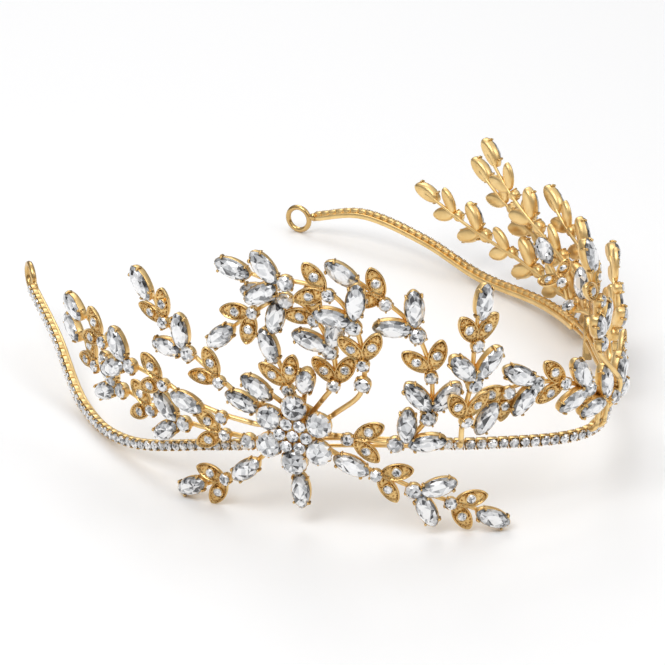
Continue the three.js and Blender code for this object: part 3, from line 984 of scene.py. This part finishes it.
def crystal_material(name):
    """Foil-backed crystal: each facet's colour is a painted reflection, as bright as what it throws
    back.
    """
    material, tree, shader = new_material(name)
    link = tree.links.new
    painted_reflection = node(tree, "ShaderNodeAttribute", {"attribute_name": "painted_reflection"})
    light = ramp(tree, [
        (0.0, (0.015, 0.015, 0.016)), (0.22, (0.11, 0.11, 0.115)),
        (0.5, (0.44, 0.45, 0.46)), (0.72, (0.77, 0.78, 0.795)), (0.88, (1, 1, 1)),
    ])
    # Voronoi cells add painted reflections of the pavilion facets under the table.
    place = tree.nodes.new("ShaderNodeTexCoord")
    inner = node(tree, "ShaderNodeTexVoronoi", {"feature": "F1"}, Scale=800.0)
    link(place.outputs["Object"], inner.inputs["Vector"])
    shade = node(tree, "ShaderNodeMath", {"operation": "MULTIPLY_ADD"})
    shade.inputs[1].default_value = 0.5
    shade.inputs[2].default_value = -0.25
    split = tree.nodes.new("ShaderNodeSeparateColor")
    link(inner.outputs["Color"], split.inputs["Color"])
    link(split.outputs["Red"], shade.inputs[0])
    total = node(tree, "ShaderNodeMath", {"operation": "ADD", "use_clamp": True})
    link(painted_reflection.outputs["Fac"], total.inputs[0])
    link(shade.outputs["Value"], total.inputs[1])
    link(total.outputs["Value"], light.inputs["Fac"])
    link(light.outputs["Color"], shader.inputs["Base Color"])
    shader.inputs["Metallic"].default_value = 0.3
    shader.inputs["Roughness"].default_value = 0.08
    shader.inputs["IOR"].default_value = 1.6
    shader.inputs["Coat Weight"].default_value = 1.0
    shader.inputs["Coat Roughness"].default_value = 0.02
    return material


GOLD = gold_material(
    "polished_gold", dark=(0.6, 0.39, 0.155), light=(0.8, 0.555, 0.24), rough=(0.14, 0.3),
    bump=0.12, grain=2600)
SATIN_GOLD = gold_material(
    "satin_gold", dark=(0.84, 0.58, 0.24), light=(0.98, 0.72, 0.34), rough=(0.3, 0.46),
    bump=0.2, grain=3600)
# Painted shade: a gold darker than the satin, for the recesses inside cups and leaves.
RECESS_SHADE_GOLD = gold_material(
    "recess_painted_shade_gold", dark=(0.66, 0.42, 0.16), light=(0.88, 0.61, 0.26), rough=(0.22, 0.4),
    bump=0.12, grain=2600)
CRYSTAL = crystal_material("foiled_crystal")


# ---- Pieces -----------------------------------------------------------------------------------


def piece(name, shape, slot, nodes=()):
    mesh = bpy.data.meshes.new(name)
    points = np.array(shape.points) + np.array(STAND_SHIFT)
    mesh.from_pydata((points * MM).tolist(), [], shape.faces)
    materials = [GOLD, SATIN_GOLD, RECESS_SHADE_GOLD] if slot == "gold" else [CRYSTAL]
    for material in materials:
        mesh.materials.append(material)
    mesh.polygons.foreach_set("material_index", [min(k, len(materials) - 1) for k in shape.looks])
    mesh.polygons.foreach_set("use_smooth", shape.smooth)
    # Each crystal facet keeps its painted reflection as a face attribute.
    if slot == "crystal":
        painted_reflection = mesh.attributes.new("painted_reflection", "FLOAT", "FACE")
        painted_reflection.data.foreach_set("value", shape.tones)
    mesh.validate()
    made = bpy.data.objects.new(name, mesh)
    bpy.context.scene.collection.objects.link(made)
    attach(made, "root")
    if nodes:
        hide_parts(*nodes)


for part, low, high in (
    ("left", LEFT_END, -BRIDGE_END),
    ("front", -BRIDGE_START, BRIDGE_START),
    ("right", BRIDGE_END, RIGHT_END),
):
    piece(f"bar_{part}", rail(low, high), "gold", [f"rail_{part}"])
    cups, stones = chain(low, high, f"chain_{part}")
    piece(f"cups_{part}", cups, "gold", [f"chain_{part}"])
    piece(f"cup_crystals_{part}", stones, "crystal")

for part, end, direction in (("left", LEFT_END, -1), ("right", RIGHT_END, 1)):
    piece(f"ring_{part}", eyelet(end, direction), "gold", [f"eyelet_{part}"])

for part, side in (("left", -1), ("right", 1)):
    piece(f"blossom_{part}", flower(side), "gold", [f"flower_{part}"])
    chance = Chance(f"flower_{part}")
    matrix = flower_matrix(side)
    for index in range(6):
        tilt = turn(chance.lean(FLOWER_LEAN), "X") @ turn(chance.lean(FLOWER_LEAN), "Y")
        tilt = tilt @ turn(chance.lean(FLOWER_TURN))
        spot = move(*ring_spot(index, FLOWER_RING), CUP_SEAT)
        petal = Shape().put(BIG_CRYSTAL, matrix @ spot @ tilt, chance)
        piece(f"petal_{part}_{index + 1}", petal, "crystal", [f"flower_stone_{part}_{index + 1}"])
    middle = Shape().put(SMALL_CRYSTAL, matrix @ move(0, 0, CLUSTER_SEAT), chance)
    for index in range(6):
        spot = move(*ring_spot(index - 0.5, SMALL_RING), CLUSTER_SEAT)
        middle.put(SMALL_CRYSTAL, matrix @ spot @ turn(chance.lean(FLOWER_TURN)), chance)
    piece(f"heart_{part}", middle, "crystal", [f"cluster_{part}"])

for name, facts in SPRAYS.items():
    cast, stones, tip = build_spray(name, Spray(*facts))
    piece(f"sprig_{name}", cast, "gold", [f"spray_{name}"])
    if stones.points:
        piece(f"crystals_{name}", stones, "crystal")
    if tip.points:
        piece(f"tip_{name}", tip, "crystal", [f"stone_{name}"])

# ---- Floor, light and camera ------------------------------------------------------------------

FLOOR_HALF = 3.0


def make_floor():
    mesh = bpy.data.meshes.new("floor")
    corners = [(-1, -1), (1, -1), (1, 1), (-1, 1)]
    mesh.from_pydata([(x * FLOOR_HALF, y * FLOOR_HALF, 0) for x, y in corners], [], [(0, 1, 2, 3)])
    made = bpy.data.objects.new("floor", mesh)
    material, tree, shader = new_material("pale_floor")
    tint = ramp(tree, [(0.0, (0.97, 0.97, 0.97)), (1.0, (0.98, 0.98, 0.98))])
    tree.links.new(noise(tree, 3).outputs["Fac"], tint.inputs["Fac"])
    tree.links.new(tint.outputs["Color"], shader.inputs["Base Color"])
    shader.inputs["Roughness"].default_value = 0.7
    mesh.materials.append(material)
    bpy.context.scene.collection.objects.link(made)


def direction_to(azimuth, elevation):
    """From the tiara to a light or the camera; azimuth 0 is in front and 90 to the right."""
    a, e = math.radians(azimuth), math.radians(elevation)
    return Vector((math.sin(a) * math.cos(e), -math.cos(a) * math.cos(e), math.sin(e)))


def area_light(name, azimuth, elevation, distance, size, power):
    """A square light at a distance in metres, turned to the tiara."""
    light = bpy.data.lights.new(name, "AREA")
    light.size = size
    light.energy = power
    back = direction_to(azimuth, elevation)
    made = bpy.data.objects.new(name, light)
    made.location = back * distance
    made.rotation_euler = back.to_track_quat("Z", "Y").to_euler()
    bpy.context.scene.collection.objects.link(made)


WORLD_STRENGTH = 0.95


def make_light():
    world = bpy.data.worlds.new("studio")
    world.use_nodes = True
    tree = world.node_tree
    place = tree.nodes.new("ShaderNodeTexCoord")
    split = tree.nodes.new("ShaderNodeSeparateXYZ")
    tree.links.new(place.outputs["Generated"], split.inputs["Vector"])
    sky = ramp(tree, [(0.0, (0.2, 0.2, 0.21)), (0.35, (0.3, 0.3, 0.31)), (1.0, (1, 1, 1))])
    tree.links.new(split.outputs["Z"], sky.inputs["Fac"])
    background = tree.nodes["Background"]
    tree.links.new(sky.outputs["Color"], background.inputs["Color"])
    background.inputs["Strength"].default_value = WORLD_STRENGTH
    bpy.context.scene.world = world
    area_light("key", -75, 55, 0.9, 0.45, 2.6)
    area_light("fill", 25, 40, 1.1, 0.5, 1.6)
    area_light("rim", 150, 45, 1.0, 0.5, 1.8)


CAMERA_AZIMUTH, CAMERA_ELEVATION = -40.25, 25.72
CAMERA_DISTANCE = 600
CAMERA_LENS = 126.7
SHIFT_RIGHT, SHIFT_UP = 0.0086, 0.0407


def make_camera():
    back = direction_to(CAMERA_AZIMUTH, CAMERA_ELEVATION)
    data = bpy.data.cameras.new("camera")
    data.sensor_width = 36
    data.lens = CAMERA_LENS
    data.shift_x = SHIFT_RIGHT
    data.shift_y = SHIFT_UP
    data.clip_start = 0.01
    made = bpy.data.objects.new("camera", data)
    made.location = (STAND_SHIFT + back * CAMERA_DISTANCE) * MM
    made.rotation_euler = back.to_track_quat("Z", "Y").to_euler()
    bpy.context.scene.collection.objects.link(made)
    bpy.context.scene.camera = made


make_floor()
make_light()
make_camera()
bpy.context.scene.view_settings.view_transform = "Standard"
